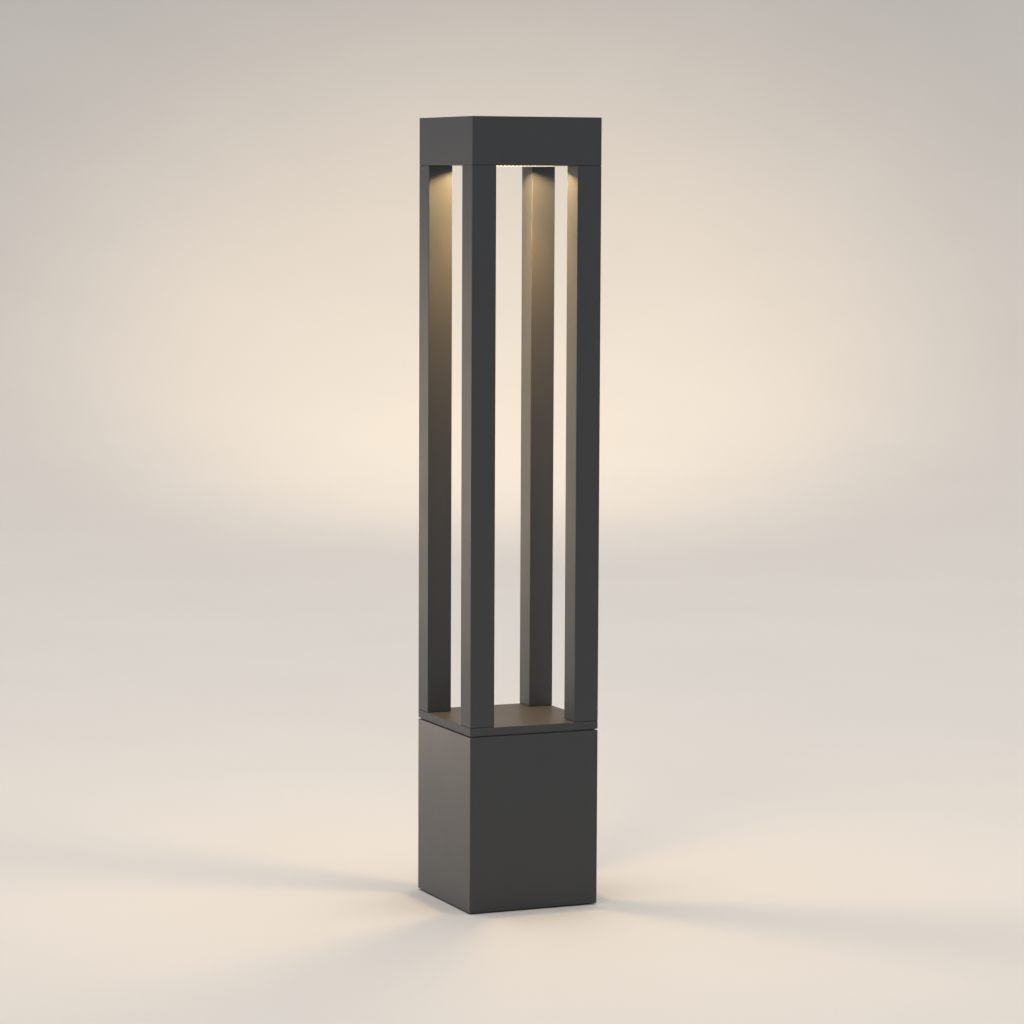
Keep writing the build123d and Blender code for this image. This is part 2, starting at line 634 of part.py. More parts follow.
with BuildPart() as head_cap:
    with BuildSketch(Plane.XY.offset(HEAD_BOTTOM)):
        RectangleRounded(WIDTH, WIDTH, EDGE_RADIUS)
    extrude(amount=HEAD_HEIGHT)
    fillet(head_cap.faces().sort_by(Axis.Z)[-1].edges(), EDGE_RADIUS * 0.6)
    chamfer(head_cap.faces().sort_by(Axis.Z)[0].edges(), SEAM_CHAMFER)
    with BuildSketch(Plane.XY.offset(HEAD_BOTTOM)):
        Rectangle(HEAD_INNER, HEAD_INNER)
    extrude(amount=ledge_level - HEAD_BOTTOM, mode=Mode.SUBTRACT)
    with BuildSketch(Plane.XY.offset(ledge_level)):
        Rectangle(LEDGE_INNER, LEDGE_INNER)
    extrude(amount=HEAD_CEILING - ledge_level, mode=Mode.SUBTRACT)
    with BuildSketch(Plane.XY.offset(FLOOR_TOP)):
        with PolarLocations((LEDGE_INNER - HEAD_BOSS_DEPTH) / 2, 4):
            Rectangle(HEAD_BOSS_DEPTH, HEAD_BOSS_WIDTH)
    extrude(amount=HEAD_CEILING - FLOOR_TOP)
    with BuildSketch(Plane.XY.offset(spreader_top)):
        with Locations(*side_points(SPREADER_SCREW_REACH)):
            Circle(SPREADER_BOSS_RADIUS)
    extrude(amount=HEAD_CEILING - spreader_top)
    with BuildSketch(Plane.XY.offset(spreader_top + PAD_THICK)):
        Circle(PAD_RADIUS)
    extrude(amount=HEAD_CEILING - spreader_top - PAD_THICK)
    with BuildSketch(Plane.XY.offset(FLOOR_TOP)):
        with Locations(*side_points(HEAD_SCREW_REACH)):
            Circle(HEAD_SCREW_RADIUS + THREAD_CLEARANCE)
    extrude(amount=HEAD_SCREW_LENGTH, mode=Mode.SUBTRACT)
    with BuildSketch(Plane.XY.offset(spreader_top)):
        with Locations(*side_points(SPREADER_SCREW_REACH)):
            Circle(SPREADER_SCREW_RADIUS + THREAD_CLEARANCE)
    extrude(amount=SPREADER_SCREW_GRIP + BLIND_END, mode=Mode.SUBTRACT)
head_cap.part.label = "head_cap"
export_step(head_cap.part, "parts/head_cap.step")

with BuildPart() as head_gasket:
    with BuildSketch(Plane.XY.offset(FLOOR_TOP)):
        Rectangle(HEAD_GASKET_OUTER, HEAD_GASKET_OUTER)
        Rectangle(HEAD_GASKET_INNER, HEAD_GASKET_INNER, mode=Mode.SUBTRACT)
    extrude(amount=HEAD_GASKET_THICK)
head_gasket.part.label = "head_gasket"
export_step(head_gasket.part, "parts/head_gasket.step")

head_screw = countersunk_screw(HEAD_SCREW_RADIUS, HEAD_SCREW_LENGTH, HEAD_SCREW_HEAD)
with BuildPart() as head_screws:
    with Locations(*pointing_up(side_points(HEAD_SCREW_REACH), HEAD_BOTTOM)):
        add(head_screw)
head_screws.part.label = "head_screws"
export_step(head_screws.part, "parts/head_screws.step")

# ---- Chassis under the deck -----------------------------------------------------------

CHASSIS_WIDTH = 80.0
CHASSIS_THICK = 2.0
CHASSIS_BOTTOM = 53.0
CHASSIS_FLANGE = 20.0
DRIVER_WIDTH = 40.0
DRIVER_DEPTH = 25.0
DRIVER_BOTTOM = 57.0
DRIVER_TOP = 133.0
DRIVER_WALL = 1.5
DRIVER_COVER_THICK = 2.0
DRIVER_EAR = 7.0
COLLAR_LENGTH = 4.0
COLLAR_WALL = 2.0
DRIVER_SCREW_POINTS = [(x, z) for x in (-23.5, 23.5) for z in (65, 125)]
BOX_SCREW_POINTS = [(-22, 100), (22, 100)]
EARTH_POINT = (-33, 62)
MAINS_LEAD_RADIUS = 3.0

chassis_front = -CHASSIS_THICK / 2
chassis_back = CHASSIS_THICK / 2
driver_front = chassis_front - DRIVER_DEPTH
driver_middle = chassis_front - DRIVER_DEPTH / 2
FACING_FRONT = Plane(origin=(0, chassis_front, 0), x_dir=(1, 0, 0), z_dir=(0, -1, 0))

with BuildPart() as chassis_plate:
    with BuildSketch(FACING_FRONT):
        with Locations((0, (CHASSIS_BOTTOM + DECK_BOTTOM) / 2)):
            Rectangle(CHASSIS_WIDTH, DECK_BOTTOM - CHASSIS_BOTTOM)
        with Locations(*DRIVER_SCREW_POINTS, *BOX_SCREW_POINTS):
            Circle(SMALL_SCREW_RADIUS + THREAD_CLEARANCE, mode=Mode.SUBTRACT)
        with Locations(EARTH_POINT):
            Circle(2.5 + THREAD_CLEARANCE, mode=Mode.SUBTRACT)
    extrude(amount=-CHASSIS_THICK)
    with BuildSketch(Plane.XY.offset(DECK_BOTTOM)):
        with Locations((0, chassis_front - CHASSIS_FLANGE / 2)):
            Rectangle(CHASSIS_WIDTH, CHASSIS_FLANGE)
        with Locations(*CHASSIS_SCREW_POINTS):
            Circle(CHASSIS_SCREW_RADIUS + THREAD_CLEARANCE, mode=Mode.SUBTRACT)
    extrude(amount=-CHASSIS_THICK)
chassis_plate.part.label = "chassis_plate"
export_step(chassis_plate.part, "parts/chassis_plate.step")

chassis_screw = socket_screw(CHASSIS_SCREW_RADIUS, CHASSIS_THICK + CHASSIS_SCREW_GRIP, 3.5, 3)
with BuildPart() as chassis_screws:
    with Locations(*pointing_up(CHASSIS_SCREW_POINTS, DECK_BOTTOM - CHASSIS_THICK)):
        add(chassis_screw)
chassis_screws.part.label = "chassis_screws"
export_step(chassis_screws.part, "parts/chassis_screws.step")

earth_bolt = socket_screw(2.5, 8, 4.5, 3)
with BuildPart() as earth_screw:
    with Locations(Location((EARTH_POINT[0], chassis_back, EARTH_POINT[1]), (90, 0, 0))):
        add(earth_bolt)
earth_screw.part.label = "earth_screw"
export_step(earth_screw.part, "parts/earth_screw.step")

# ---- Driver ---------------------------------------------------------------------------

with BuildPart() as driver_case:
    with BuildSketch(Plane.XY.offset(DRIVER_BOTTOM)):
        with Locations((0, driver_middle)):
            RectangleRounded(DRIVER_WIDTH, DRIVER_DEPTH, 0.5)
        with Locations((0, chassis_front - DRIVER_WALL / 2)):
            Rectangle(DRIVER_WIDTH + 2 * DRIVER_EAR, DRIVER_WALL)
        with Locations((0, driver_middle)):
            Rectangle(DRIVER_WIDTH - 2 * DRIVER_WALL, DRIVER_DEPTH - 2 * DRIVER_WALL, mode=Mode.SUBTRACT)
    extrude(amount=DRIVER_TOP - DRIVER_BOTTOM)
    with BuildSketch(FACING_FRONT):
        with Locations(*DRIVER_SCREW_POINTS):
            Circle(SMALL_SCREW_RADIUS + THREAD_CLEARANCE)
    extrude(amount=DRIVER_WALL, mode=Mode.SUBTRACT)
driver_case.part.label = "driver_case"
export_step(driver_case.part, "parts/driver_case.step")

driver_ends = [(DRIVER_BOTTOM, -1, MAINS_LEAD_RADIUS), (DRIVER_TOP, 1, LEAD_RADIUS)]
with BuildPart() as driver_end_covers:
    for level, outward, lead_size in driver_ends:
        with BuildSketch(Plane.XY.offset(level)):
            with Locations((0, driver_middle)):
                RectangleRounded(DRIVER_WIDTH, DRIVER_DEPTH, 0.5)
        extrude(amount=outward * DRIVER_COVER_THICK)
        with BuildSketch(Plane.XY.offset(level + outward * DRIVER_COVER_THICK)):
            with Locations((0, driver_middle)):
                Circle(lead_size + COLLAR_WALL)
                Circle(lead_size + THREAD_CLEARANCE, mode=Mode.SUBTRACT)
        extrude(amount=outward * COLLAR_LENGTH)
driver_end_covers.part.label = "driver_end_covers"
export_step(driver_end_covers.part, "parts/driver_end_covers.step")

BOARD_PLACE = chassis_front - DRIVER_WALL - 3
DRIVER_LEVEL = (DRIVER_BOTTOM + DRIVER_TOP) / 2
BOARD_PLANE = Plane(origin=(0, BOARD_PLACE, DRIVER_LEVEL), x_dir=(1, 0, 0), z_dir=(0, -1, 0))
with BuildPart() as driver_board:
    with BuildSketch(BOARD_PLANE):
        Rectangle(DRIVER_WIDTH - 2 * DRIVER_WALL - 0.4, 70)
    extrude(amount=BOARD_THICK)
driver_board.part.label = "driver_board"
export_step(driver_board.part, "parts/driver_board.step")

with BuildPart() as driver_components:
    with BuildSketch(BOARD_PLANE.offset(BOARD_THICK)):
        with Locations((0, 4)):
            RectangleRounded(18, 16, 1)
    extrude(amount=13)
    with BuildSketch(BOARD_PLANE.offset(BOARD_THICK)):
        with Locations((-9, -20), (6, -22)):
            Circle(5)
    extrude(amount=12)
    with BuildSketch(BOARD_PLANE.offset(BOARD_THICK)):
        with Locations((0, 26)):
            RectangleRounded(24, 8, 0.5)
    extrude(amount=9)
driver_components.part.label = "driver_components"
export_step(driver_components.part, "parts/driver_components.step")

driver_screw_length = DRIVER_WALL + CHASSIS_THICK
driver_screw = socket_screw(SMALL_SCREW_RADIUS, driver_screw_length, SMALL_SCREW_HEAD, SMALL_HEAD_HEIGHT)
with BuildPart() as driver_screws:
    for place_x, place_z in DRIVER_SCREW_POINTS:
        with Locations(Location((place_x, chassis_front - DRIVER_WALL, place_z), (-90, 0, 0))):
            add(driver_screw)
driver_screws.part.label = "driver_screws"
export_step(driver_screws.part, "parts/driver_screws.step")

# ---- Junction box ---------------------------------------------------------------------

BOX_WIDTH = 64.0
BOX_DEPTH = 35.0
BOX_BOTTOM = 85.0
BOX_TOP = 140.0
BOX_WALL = 2.5
BOX_POST_RADIUS = 3.5
GLAND_PLACES = [(-12, 14.5), (12, 14.5)]
GLAND_HOLE = 8.0
LID_THICK = 3.0
BOX_GASKET_THICK = 1.0
TERMINAL_WIDTH = 36.0
TERMINAL_BOTTOM = 108.0
TERMINAL_HEIGHT = 16.0
POLE_PLACES = [-12, 0, 12]
box_height = BOX_TOP - BOX_BOTTOM
box_level = (BOX_TOP + BOX_BOTTOM) / 2
box_front = chassis_back + BOX_DEPTH
lid_back = box_front + BOX_GASKET_THICK
LID_SCREW_PLACES = [(x * 27, z * 22.5) for x, z in CORNERS]


def facing_back(y):
    """The plane at this Y that looks along +Y, centred on the junction box."""
    return Plane(origin=(0, y, box_level), x_dir=(-1, 0, 0), z_dir=(0, 1, 0))


with BuildPart() as junction_box:
    with BuildSketch(facing_back(chassis_back)):
        RectangleRounded(BOX_WIDTH, box_height, 3)
    extrude(amount=BOX_DEPTH)
    with BuildSketch(facing_back(chassis_back + BOX_WALL)):
        RectangleRounded(BOX_WIDTH - 2 * BOX_WALL, box_height - 2 * BOX_WALL, 1)
    extrude(amount=BOX_DEPTH, mode=Mode.SUBTRACT)
    with BuildSketch(facing_back(chassis_back)):
        with Locations(*LID_SCREW_PLACES):
            Circle(BOX_POST_RADIUS)
    extrude(amount=BOX_DEPTH)
    with BuildSketch(facing_back(box_front)):
        with Locations(*LID_SCREW_PLACES):
            Circle(SMALL_SCREW_RADIUS + THREAD_CLEARANCE)
    extrude(amount=-20, mode=Mode.SUBTRACT)
    with BuildSketch(facing_back(chassis_back)):
        with Locations(*[(-x, z - box_level) for x, z in BOX_SCREW_POINTS]):
            Circle(SMALL_SCREW_RADIUS + THREAD_CLEARANCE)
    extrude(amount=BOX_WALL, mode=Mode.SUBTRACT)
    with BuildSketch(Plane.XY.offset(BOX_BOTTOM)):
        with Locations(*GLAND_PLACES):
            Circle(GLAND_HOLE)
    extrude(amount=BOX_WALL, mode=Mode.SUBTRACT)
junction_box.part.label = "junction_box"
export_step(junction_box.part, "parts/junction_box.step")

with BuildPart() as junction_box_gasket:
    with BuildSketch(facing_back(box_front)):
        RectangleRounded(BOX_WIDTH, box_height, 3)
        RectangleRounded(BOX_WIDTH - 2 * BOX_WALL, box_height - 2 * BOX_WALL, 1, mode=Mode.SUBTRACT)
        with Locations(*LID_SCREW_PLACES):
            Circle(BOX_POST_RADIUS)
            Circle(SMALL_SCREW_RADIUS + THREAD_CLEARANCE, mode=Mode.SUBTRACT)
    extrude(amount=BOX_GASKET_THICK)
junction_box_gasket.part.label = "junction_box_gasket"
export_step(junction_box_gasket.part, "parts/junction_box_gasket.step")

with BuildPart() as junction_box_lid:
    with BuildSketch(facing_back(lid_back)):
        RectangleRounded(BOX_WIDTH, box_height, 3)
        with Locations(*LID_SCREW_PLACES):
            Circle(SMALL_SCREW_RADIUS + THREAD_CLEARANCE, mode=Mode.SUBTRACT)
    extrude(amount=LID_THICK)
    chamfer(junction_box_lid.faces().sort_by(Axis.Y)[-1].outer_wire().edges(), 0.8)
junction_box_lid.part.label = "junction_box_lid"
export_step(junction_box_lid.part, "parts/junction_box_lid.step")

lid_screw_length = LID_THICK + BOX_GASKET_THICK + 16
lid_screw = socket_screw(SMALL_SCREW_RADIUS, lid_screw_length, SMALL_SCREW_HEAD, SMALL_HEAD_HEIGHT)
with BuildPart() as junction_lid_screws:
    for place_x, place_z in LID_SCREW_PLACES:
        with Locations(Location((place_x, lid_back + LID_THICK, box_level + place_z), (90, 0, 0))):
            add(lid_screw)
junction_lid_screws.part.label = "junction_lid_screws"
export_step(junction_lid_screws.part, "parts/junction_lid_screws.step")

box_screw_length = BOX_WALL + CHASSIS_THICK
box_screw = socket_screw(SMALL_SCREW_RADIUS, box_screw_length, SMALL_SCREW_HEAD, SMALL_HEAD_HEIGHT)
with BuildPart() as junction_box_screws:
    for place_x, place_z in BOX_SCREW_POINTS:
        with Locations(Location((place_x, chassis_back + BOX_WALL, place_z), (90, 0, 0))):
            add(box_screw)
junction_box_screws.part.label = "junction_box_screws"
export_step(junction_box_screws.part, "parts/junction_box_screws.step")

terminal_depth = 2 * (GLAND_PLACES[0][1] - chassis_back - BOX_WALL)
terminal_front = chassis_back + BOX_WALL + terminal_depth
TERMINAL_FACE = Plane(origin=(0, terminal_front, TERMINAL_BOTTOM), x_dir=(-1, 0, 0), z_dir=(0, 1, 0))
with BuildPart() as terminal_block:
    with BuildSketch(Plane.XY.offset(TERMINAL_BOTTOM)):
        with Locations((0, GLAND_PLACES[0][1])):
            RectangleRounded(TERMINAL_WIDTH, terminal_depth, 0.6)
    extrude(amount=TERMINAL_HEIGHT)
    with BuildSketch(Plane.XY.offset(TERMINAL_BOTTOM)):
        with Locations(*[(x, GLAND_PLACES[0][1]) for x in POLE_PLACES]):
            Circle(2)
    extrude(amount=TERMINAL_HEIGHT, mode=Mode.SUBTRACT)
    with BuildSketch(TERMINAL_FACE):
        with Locations(*[(x, z) for x in POLE_PLACES for z in (4, 12)]):
            Circle(2.2)
    extrude(amount=-8, mode=Mode.SUBTRACT)
terminal_block.part.label = "terminal_block"
export_step(terminal_block.part, "parts/terminal_block.step")

with BuildPart() as terminal_screws:
    with BuildSketch(TERMINAL_FACE.offset(-1)):
        with Locations(*[(x, z) for x in POLE_PLACES for z in (4, 12)]):
            Circle(2.1)
    extrude(amount=-5)
    with BuildSketch(TERMINAL_FACE.offset(-1)):
        with Locations(*[(x, z) for x in POLE_PLACES for z in (4, 12)]):
            Rectangle(3.4, 0.6)
    extrude(amount=-0.8, mode=Mode.SUBTRACT)
terminal_screws.part.label = "terminal_screws"
export_step(terminal_screws.part, "parts/terminal_screws.step")

# ---- Cable glands: body, locknut, seal and dome nut -----------------------------------

GLAND_BORE = 5.0
GLAND_HEX = 10.5
GLAND_HEX_HEIGHT = 5.0
GLAND_THREAD = 7.95
LOCKNUT_HEIGHT = 4.0
DOME_HEIGHT = 15.0
SEAL_HEIGHT = 8.0
hex_bottom = BOX_BOTTOM - GLAND_HEX_HEIGHT
dome_top = hex_bottom - 1
inner_wall = BOX_BOTTOM + BOX_WALL
GLAND_SECTIONS = [Plane(origin=(x, y, 0), x_dir=(1, 0, 0), z_dir=(0, -1, 0)) for x, y in GLAND_PLACES]
GLAND_AXES = [Axis((x, y, 0), (0, 0, 1)) for x, y in GLAND_PLACES]

with BuildPart() as gland_bodies:
    with BuildSketch(Plane.XY.offset(hex_bottom)):
        with Locations(*GLAND_PLACES):
            RegularPolygon(GLAND_HEX, 6)
    extrude(amount=GLAND_HEX_HEIGHT)
    with BuildSketch(Plane.XY.offset(hex_bottom - 7)):
        with Locations(*GLAND_PLACES):
            Circle(GLAND_THREAD - 0.5)
    extrude(amount=7)
    with BuildSketch(Plane.XY.offset(BOX_BOTTOM)):
        with Locations(*GLAND_PLACES):
            Circle(GLAND_THREAD)
    extrude(amount=BOX_WALL + LOCKNUT_HEIGHT + 2)
    with BuildSketch(Plane.XY.offset(hex_bottom - 7)):
        with Locations(*GLAND_PLACES):
            Circle(GLAND_BORE)
    extrude(amount=40, mode=Mode.SUBTRACT)
gland_bodies.part.label = "gland_bodies"
export_step(gland_bodies.part, "parts/gland_bodies.step")

with BuildPart() as gland_locknuts:
    with BuildSketch(Plane.XY.offset(inner_wall)):
        with Locations(*GLAND_PLACES):
            RegularPolygon(GLAND_HEX, 6)
            Circle(GLAND_THREAD + THREAD_CLEARANCE, mode=Mode.SUBTRACT)
    extrude(amount=LOCKNUT_HEIGHT)
gland_locknuts.part.label = "gland_locknuts"
export_step(gland_locknuts.part, "parts/gland_locknuts.step")

dome_bottom = dome_top - DOME_HEIGHT
with BuildPart() as gland_domes:
    for section, axis in zip(GLAND_SECTIONS, GLAND_AXES):
        with BuildSketch(section):
            with BuildLine():
                Polyline(
                    (4, dome_bottom),
                    (6, dome_bottom),
                    (9.6, dome_bottom + 6),
                    (9.6, dome_top),
                    (7.5, dome_top),
                    (7.5, dome_bottom + 7),
                    (5.2, dome_bottom + 4),
                    (4, dome_bottom + 3),
                    close=True,
                )
            make_face()
        revolve(axis=axis)
gland_domes.part.label = "gland_domes"
export_step(gland_domes.part, "parts/gland_domes.step")

with BuildPart() as gland_seals:
    with BuildSketch(Plane.XY.offset(hex_bottom - 7.5)):
        with Locations(*GLAND_PLACES):
            Circle(GLAND_BORE - 0.05)
            Circle(MAINS_LEAD_RADIUS + THREAD_CLEARANCE, mode=Mode.SUBTRACT)
    extrude(amount=SEAL_HEIGHT)
gland_seals.part.label = "gland_seals"
export_step(gland_seals.part, "parts/gland_seals.step")

# ---- Leads ----------------------------------------------------------------------------


def corner_radii(route, largest):
    """For each corner of a route, 0.45 of the shorter run over the tangent of half the turn."""
    radii = []
    for before, corner, after in zip(route, route[1:], route[2:]):
        run_in = Vector(*corner) - Vector(*before)
        run_out = Vector(*after) - Vector(*corner)
        half_turn = radians(run_in.get_angle(run_out) / 2)
        room = 0.45 * min(run_in.length, run_out.length) / tan(half_turn)
        radii.append(min(room, largest))
    return radii


gland_x, gland_y = GLAND_PLACES[1]
lowest = 25.0
mains_route = [
    (gland_x, gland_y, TERMINAL_BOTTOM),
    (gland_x, gland_y, lowest),
    (0, driver_middle, lowest),
    (0, driver_middle, DRIVER_BOTTOM - DRIVER_COVER_THICK),
]
mains_radii = corner_radii(mains_route, 16)

with BuildPart() as mains_lead:
    with BuildLine() as mains_path:
        FilletPolyline(*mains_route, radius=mains_radii)
    with BuildSketch(Plane(origin=mains_route[0], z_dir=mains_path.line % 0)):
        Circle(MAINS_LEAD_RADIUS)
    sweep()
mains_lead.part.label = "mains_lead"
export_step(mains_lead.part, "parts/mains_lead.step")

# The lead leaves the driver upwards, passes the edge of the chassis plate, and climbs
# inside the back right post to the connector on the light source.
level = 158.0
chassis_side = 47.0
entry_level = BOARD_FACE - 2.8
connector_face = (CONNECTOR_MIDDLE + CONNECTOR_LENGTH / 2) / 2**0.5
output_route = [
    (0, driver_middle, DRIVER_TOP + DRIVER_COVER_THICK),
    (0, driver_middle, level),
    (chassis_side, driver_middle, level),
    (chassis_side, 30, level),
    (LEAD_PLACE, LEAD_PLACE, level),
    (LEAD_PLACE, LEAD_PLACE, entry_level),
    (connector_face, connector_face, entry_level),
]
output_radii = corner_radii(output_route, 60)
output_radii[-1] = 11.5

with BuildPart() as output_lead:
    with BuildLine() as output_path:
        FilletPolyline(*output_route, radius=output_radii)
    with BuildSketch(Plane(origin=output_route[0], z_dir=output_path.line % 0)):
        Circle(LEAD_RADIUS)
    sweep()
output_lead.part.label = "output_lead"
export_step(output_lead.part, "parts/output_lead.step")

leads = [
    ("mains_lead", mains_lead, mains_path, MAINS_LEAD_RADIUS, mains_radii),
    ("output_lead", output_lead, output_path, LEAD_RADIUS, output_radii),
]
for name, lead, path, lead_radius, radii in leads:
    section = pi * lead_radius**2
    length = sum(edge.length for edge in path.line.edges())
    share = lead.part.volume / (section * length)
    rounded = [round(radius, 1) for radius in radii]
    print(name, "length", round(length, 1), "radii", rounded, "volume share", round(share, 4))
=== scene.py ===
"""The looks of the square bollard light: materials, the lamp, studio, floor and camera."""

import json
import math

import bpy
from mathutils import Matrix, Vector


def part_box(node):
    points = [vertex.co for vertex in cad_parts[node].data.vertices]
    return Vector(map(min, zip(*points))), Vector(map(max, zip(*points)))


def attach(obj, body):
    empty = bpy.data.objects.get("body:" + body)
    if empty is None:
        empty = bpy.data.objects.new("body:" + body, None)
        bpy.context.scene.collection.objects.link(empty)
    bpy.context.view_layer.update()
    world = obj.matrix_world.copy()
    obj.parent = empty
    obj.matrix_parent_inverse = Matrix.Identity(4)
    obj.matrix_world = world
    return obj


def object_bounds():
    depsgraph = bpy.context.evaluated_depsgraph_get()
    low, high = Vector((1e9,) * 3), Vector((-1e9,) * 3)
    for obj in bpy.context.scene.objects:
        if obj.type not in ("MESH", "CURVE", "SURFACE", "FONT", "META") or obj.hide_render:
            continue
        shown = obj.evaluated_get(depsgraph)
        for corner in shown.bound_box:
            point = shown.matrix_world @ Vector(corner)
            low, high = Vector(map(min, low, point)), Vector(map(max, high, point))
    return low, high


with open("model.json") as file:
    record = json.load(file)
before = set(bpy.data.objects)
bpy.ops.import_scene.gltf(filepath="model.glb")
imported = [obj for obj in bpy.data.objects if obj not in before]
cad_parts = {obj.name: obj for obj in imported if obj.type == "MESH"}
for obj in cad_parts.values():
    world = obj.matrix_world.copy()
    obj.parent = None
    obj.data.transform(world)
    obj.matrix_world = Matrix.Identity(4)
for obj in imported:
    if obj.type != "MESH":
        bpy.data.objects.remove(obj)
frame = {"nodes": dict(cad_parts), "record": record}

nodes = frame["nodes"]
cad_low, cad_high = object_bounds()
MM = 0.001

# ---- Building node materials --------------------------------------------------------------

NOISE_LOW, NOISE_HIGH = 0.3, 0.7  # where most of a noise texture's values lie
NUMBER_SOCKETS = (2, 3, 0)  # a Mix node's first input, second input and output, for numbers
COLOR_SOCKETS = (6, 7, 2)  # the same, for colours


class Finish:
    """One material's node tree, built by short calls. Textures are in metres, in the row frame."""

    def __init__(self, name):
        self.material = bpy.data.materials.new(name)
        self.material.use_nodes = True
        self.tree = self.material.node_tree
        self.tree.nodes.clear()
        output = self.tree.nodes.new("ShaderNodeOutputMaterial")
        self.shader = self.tree.nodes.new("ShaderNodeBsdfPrincipled")
        self.tree.links.new(self.shader.outputs["BSDF"], output.inputs["Surface"])
        self.place = self.tree.nodes.new("ShaderNodeTexCoord").outputs["Object"]

    def link(self, value, socket):
        """A node's output is linked; a number or a colour is set on the socket itself."""
        if isinstance(value, bpy.types.NodeSocket):
            self.tree.links.new(value, socket)
        elif hasattr(value, "__len__") and len(value) == 3 and len(socket.default_value) == 4:
            socket.default_value = (*value, 1.0)
        else:
            socket.default_value = value

    def put(self, **sockets):
        """Sets or links the shader's sockets: base_color is Base Color, and so on."""
        for name, value in sockets.items():
            words = name.replace("_", " ").title().replace("Ior", "IOR")
            self.link(value, self.shader.inputs[words])

    def node(self, kind, sockets=(), **settings):
        made = self.tree.nodes.new("ShaderNode" + kind)
        for name, value in settings.items():
            setattr(made, name, value)
        for name, value in dict(sockets).items():
            self.link(value, made.inputs[name])
        return made

    def stretched(self, x, y, z):
        """The row frame's coordinates, scaled: a small number draws a pattern out along that axis."""
        return self.node("Mapping", {"Vector": self.place, "Scale": (x, y, z)}).outputs["Vector"]

    def noise(self, size, detail=2.0, place=None, rough=0.5):
        """Noise from 0 to 1 whose blotches are about this size, in metres."""
        sockets = {"Vector": place or self.place, "Scale": 1 / size, "Detail": detail, "Roughness": rough}
        return self.node("TexNoise", sockets).outputs["Fac"]

    def cells(self, size, output="Color", place=None, **settings):
        sockets = {"Vector": place or self.place, "Scale": 1 / size}
        return self.node("TexVoronoi", sockets, **settings).outputs[output]

    def math(self, operation, first, second=0.0):
        made = self.tree.nodes.new("ShaderNodeMath")
        made.operation = operation
        self.link(first, made.inputs[0])
        self.link(second, made.inputs[1])
        return made.outputs["Value"]

    def span(self, value, low, high, from_low=NOISE_LOW, from_high=NOISE_HIGH):
        """Spreads a value over low to high, with no overshoot. It suits noise as it stands."""
        sockets = {"Value": value, "To Min": low, "To Max": high}
        sockets.update({"From Min": from_low, "From Max": from_high})
        return self.node("MapRange", sockets).outputs["Result"]

    def mixed(self, made, share, first, second, sockets):
        first_socket, second_socket, result = sockets
        self.link(share, made.inputs["Factor"])
        self.link(first, made.inputs[first_socket])
        self.link(second, made.inputs[second_socket])
        return made.outputs[result]

    def mix(self, share, first, second):
        """Two colours: a share of 0 gives the first, and 1 the second."""
        return self.mixed(self.node("Mix", data_type="RGBA"), share, first, second, COLOR_SOCKETS)

    def blend(self, share, first, second):
        """Like mix, for two numbers."""
        return self.mixed(self.node("Mix"), share, first, second, NUMBER_SOCKETS)

    def bump(self, height, depth, normal=None):
        """A bump whose full height is depth, in metres."""
        sockets = {"Height": height, "Distance": depth, "Strength": 1.0}
        made = self.node("Bump", sockets)
        if normal is not None:
            self.link(normal, made.inputs["Normal"])
        return made.outputs["Normal"]


def shade(color, factor):
    return tuple(channel * factor for channel in color)


# ---- Materials ----------------------------------------------------------------------------

GRAPHITE = (0.031, 0.0332, 0.0372)
# Painted shade: near-black on the ground plate's flange, standing for the deep shadow in the gap under
# the housing.
PAINTED_GAP_SHADE = (0.012, 0.012, 0.012)
PAINTED_GAP_SHADE_TOP = (5.0 * MM, 5.6 * MM)  # where the painted shade starts to thin out, just above the flange, and ends
TOOL_MARK_DEPTH = 0.004 * MM


def powder_coat(name):
    """Satin graphite powder coat: fine orange peel, a sandy grain and slight cloudiness."""
    finish = Finish(name)
    cloud = finish.noise(60 * MM, 3.0)
    speck = finish.noise(0.45 * MM, 1.0)
    peel = finish.noise(2.4 * MM, 2.0)
    tone = finish.mix(finish.span(cloud, 0.0, 1.0), shade(GRAPHITE, 0.95), shade(GRAPHITE, 1.05))
    tone = finish.mix(finish.span(speck, 0.0, 0.22), tone, shade(GRAPHITE, 1.5))
    grain = finish.bump(speck, 0.012 * MM)
    surface = finish.bump(peel, 0.010 * MM, grain)
    rough = finish.math("ADD", finish.span(cloud, 0.40, 0.45), finish.span(speck, -0.02, 0.02))
    finish.put(base_color=tone, roughness=rough, normal=surface, ior=1.5)
    return finish.material


def galvanised(name):
    """Hot-dip galvanised plate: spangled upstands on a flange painted near-black, as painted shade for
    the gap under the housing.
    """
    finish = Finish(name)
    spangle = finish.cells(9 * MM)
    grey = finish.node("RGBToBW", {"Color": spangle}).outputs["Val"]
    dull = finish.noise(25 * MM, 4.0)
    zinc = finish.mix(finish.span(grey, 0.0, 1.0, 0.1, 0.9), (0.30, 0.31, 0.32), (0.52, 0.53, 0.54))
    zinc = finish.mix(finish.span(dull, 0.0, 0.5), zinc, (0.36, 0.36, 0.36))
    height = finish.node("SeparateXYZ", {"Vector": finish.place}).outputs["Z"]
    # Below about 5 mm the zinc turns near-black, with a ragged top line: painted shade for the gap under
    # the housing.
    edge = finish.math("ADD", height, finish.span(dull, -0.3 * MM, 0.3 * MM))
    unshaded = finish.span(edge, 0.0, 1.0, *PAINTED_GAP_SHADE_TOP)
    rough = finish.math("ADD", finish.span(grey, 0.34, 0.5, 0.1, 0.9), finish.span(dull, 0.0, 0.12))
    finish.put(
        base_color=finish.mix(unshaded, PAINTED_GAP_SHADE, zinc),
        roughness=finish.blend(unshaded, 0.62, rough),
        metallic=unshaded,
        normal=finish.bump(finish.noise(1.2 * MM, 3.0), 0.01 * MM),
    )
    return finish.material


